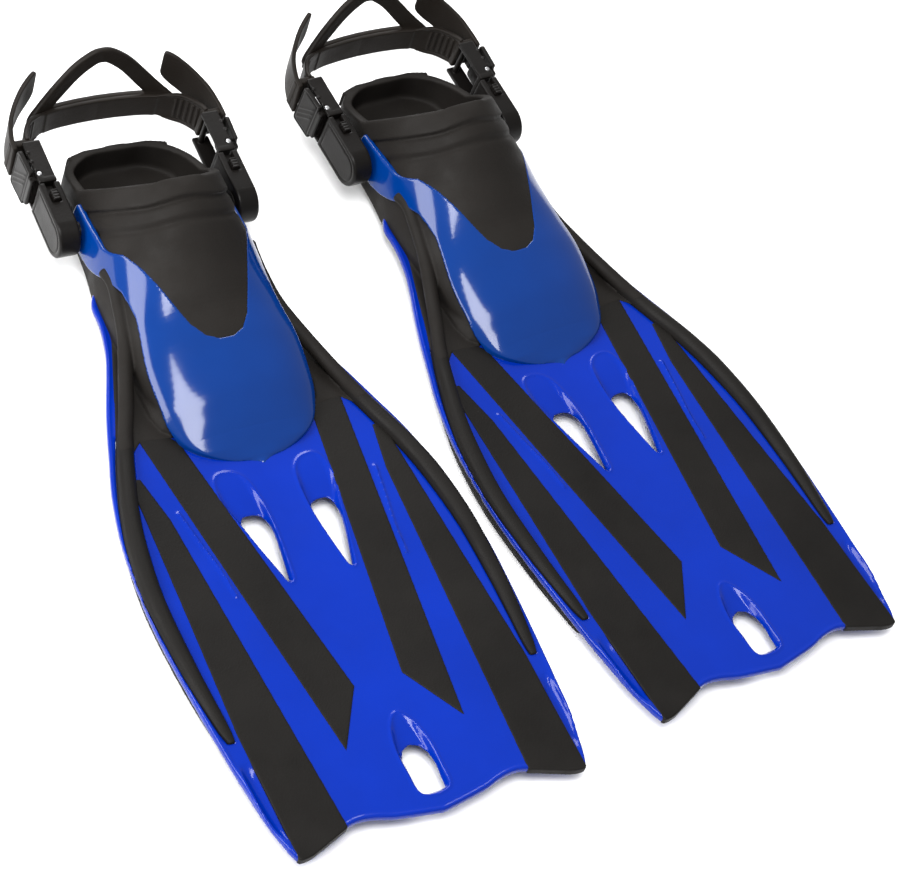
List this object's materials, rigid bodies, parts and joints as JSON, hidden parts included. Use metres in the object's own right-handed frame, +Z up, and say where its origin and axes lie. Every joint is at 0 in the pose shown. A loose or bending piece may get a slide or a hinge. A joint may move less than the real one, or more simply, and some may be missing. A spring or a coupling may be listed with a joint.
{
  "type": "swim fins",
  "caption": "Pair of adjustable open-heel swim fins with vented paddle blades, rubber foot pockets, quick-release strap buckles and a heel pad with a finger loop.",
  "frame": {"origin": "centre of the bounding box of the pair at floor level", "axes": "+X from the left fin to the right fin, +Y from the blade tips towards the heel straps along the left fin, +Z up from the floor"},
  "size_m": [0.45, 0.5554, 0.089],
  "materials": {
    "blue_plastic": "glossy moulded",
    "pocket_rubber": "matte moulded",
    "inlay_rubber": "satin moulded",
    "strap_rubber": "satin moulded",
    "buckle_plastic": "satin moulded",
    "pin_steel": "plain"
  },
  "bodies": {
    "left_fin": {"left_blade": "blue_plastic", "left_toe_hood": "blue_plastic", "left_foot_pocket": "pocket_rubber", "left_rail_l": "inlay_rubber", "left_rail_r": "inlay_rubber", "left_inner_inlay_l": "inlay_rubber", "left_inner_inlay_r": "inlay_rubber", "left_outer_inlay_l": "inlay_rubber", "left_outer_inlay_r": "inlay_rubber", "left_strap_post_l": "buckle_plastic", "left_strap_post_r": "buckle_plastic"},
    "left_sockets": {"left_buckle_socket_l": "buckle_plastic", "left_buckle_socket_r": "buckle_plastic"},
    "left_strap": {"left_buckle_plug_l": "buckle_plastic", "left_buckle_plug_r": "buckle_plastic", "left_lever_pin_l": "pin_steel", "left_lever_pin_r": "pin_steel", "left_heel_strap": "strap_rubber", "left_heel_pad": "strap_rubber"},
    "left_lever_l": {"left_cam_lever_l": "buckle_plastic"},
    "left_upper_l": {"left_upper_button_l": "buckle_plastic"},
    "left_lower_l": {"left_lower_button_l": "buckle_plastic"},
    "left_lever_r": {"left_cam_lever_r": "buckle_plastic"},
    "left_upper_r": {"left_upper_button_r": "buckle_plastic"},
    "left_lower_r": {"left_lower_button_r": "buckle_plastic"},
    "right_fin": {"right_blade": "blue_plastic", "right_toe_hood": "blue_plastic", "right_foot_pocket": "pocket_rubber", "right_rail_l": "inlay_rubber", "right_rail_r": "inlay_rubber", "right_inner_inlay_l": "inlay_rubber", "right_inner_inlay_r": "inlay_rubber", "right_outer_inlay_l": "inlay_rubber", "right_outer_inlay_r": "inlay_rubber", "right_strap_post_l": "buckle_plastic", "right_strap_post_r": "buckle_plastic"},
    "right_sockets": {"right_buckle_socket_l": "buckle_plastic", "right_buckle_socket_r": "buckle_plastic"},
    "right_strap": {"right_buckle_plug_l": "buckle_plastic", "right_buckle_plug_r": "buckle_plastic", "right_lever_pin_l": "pin_steel", "right_lever_pin_r": "pin_steel", "right_heel_strap": "strap_rubber", "right_heel_pad": "strap_rubber"},
    "right_lever_l": {"right_cam_lever_l": "buckle_plastic"},
    "right_upper_l": {"right_upper_button_l": "buckle_plastic"},
    "right_lower_l": {"right_lower_button_l": "buckle_plastic"},
    "right_lever_r": {"right_cam_lever_r": "buckle_plastic"},
    "right_upper_r": {"right_upper_button_r": "buckle_plastic"},
    "right_lower_r": {"right_lower_button_r": "buckle_plastic"}
  },
  "joints": [
    {"name": "left_strap_swing", "type": "hinge", "parent": "left_fin", "child": "left_sockets", "pos_m": [-0.11616, 0.15233, 0.035], "axis": [1, 0, 0], "range_deg": [-12, 60]},
    {"name": "left_strap_release", "type": "slide", "parent": "left_sockets", "child": "left_strap", "axis": [0, 0.9945, 0.1045], "range_m": [0, 0.025]},
    {"name": "left_lever_l_open", "type": "hinge", "parent": "left_strap", "child": "left_lever_l", "pos_m": [-0.18026, 0.18913, 0.03887], "axis": [0, -0.1045, 0.9945], "range_deg": [0, 28]},
    {"name": "left_upper_button_l_press", "type": "slide", "parent": "left_strap", "child": "left_upper_l", "axis": [0, 0.1045, -0.9945], "range_m": [0, 0.0023], "stiffness_N_per_m": 300},
    {"name": "left_lower_button_l_press", "type": "slide", "parent": "left_strap", "child": "left_lower_l", "axis": [0, -0.1045, 0.9945], "range_m": [0, 0.0023], "stiffness_N_per_m": 300},
    {"name": "left_lever_r_open", "type": "hinge", "parent": "left_strap", "child": "left_lever_r", "pos_m": [-0.05206, 0.18913, 0.03887], "axis": [0, 0.1045, -0.9945], "range_deg": [0, 28]},
    {"name": "left_upper_button_r_press", "type": "slide", "parent": "left_strap", "child": "left_upper_r", "axis": [0, 0.1045, -0.9945], "range_m": [0, 0.0023], "stiffness_N_per_m": 300},
    {"name": "left_lower_button_r_press", "type": "slide", "parent": "left_strap", "child": "left_lower_r", "axis": [0, -0.1045, 0.9945], "range_m": [0, 0.0023], "stiffness_N_per_m": 300},
    {"name": "right_strap_swing", "type": "hinge", "parent": "right_fin", "child": "right_sockets", "pos_m": [0.09219, 0.1712, 0.035], "axis": [0.9967, 0.0816, 0], "range_deg": [-12, 60]},
    {"name": "right_strap_release", "type": "slide", "parent": "right_sockets", "child": "right_strap", "axis": [-0.0811, 0.9912, 0.1045], "range_m": [0, 0.025]},
    {"name": "right_lever_l_open", "type": "hinge", "parent": "right_strap", "child": "right_lever_l", "pos_m": [0.0253, 0.20265, 0.03887], "axis": [0.0085, -0.1042, 0.9945], "range_deg": [0, 28]},
    {"name": "right_upper_button_l_press", "type": "slide", "parent": "right_strap", "child": "right_upper_l", "axis": [-0.0085, 0.1042, -0.9945], "range_m": [0, 0.0023], "stiffness_N_per_m": 300},
    {"name": "right_lower_button_l_press", "type": "slide", "parent": "right_strap", "child": "right_lower_l", "axis": [0.0085, -0.1042, 0.9945], "range_m": [0, 0.0023], "stiffness_N_per_m": 300},
    {"name": "right_lever_r_open", "type": "hinge", "parent": "right_strap", "child": "right_lever_r", "pos_m": [0.15307, 0.21311, 0.03887], "axis": [-0.0085, 0.1042, -0.9945], "range_deg": [0, 28]},
    {"name": "right_upper_button_r_press", "type": "slide", "parent": "right_strap", "child": "right_upper_r", "axis": [-0.0085, 0.1042, -0.9945], "range_m": [0, 0.0023], "stiffness_N_per_m": 300},
    {"name": "right_lower_button_r_press", "type": "slide", "parent": "right_strap", "child": "right_lower_r", "axis": [0.0085, -0.1042, 0.9945], "range_m": [0, 0.0023], "stiffness_N_per_m": 300},
    {"name": "fin_spacing", "type": "slide", "parent": "left_fin", "child": "right_fin", "axis": [1, 0, 0], "range_m": [0, 0.06]}
  ],
  "couplings": [
    {"joint": "left_lower_button_l_press", "follows": "left_upper_button_l_press", "ratio": 1},
    {"joint": "left_lower_button_r_press", "follows": "left_upper_button_r_press", "ratio": 1},
    {"joint": "right_lower_button_l_press", "follows": "right_upper_button_l_press", "ratio": 1},
    {"joint": "right_lower_button_r_press", "follows": "right_upper_button_r_press", "ratio": 1}
  ]
}
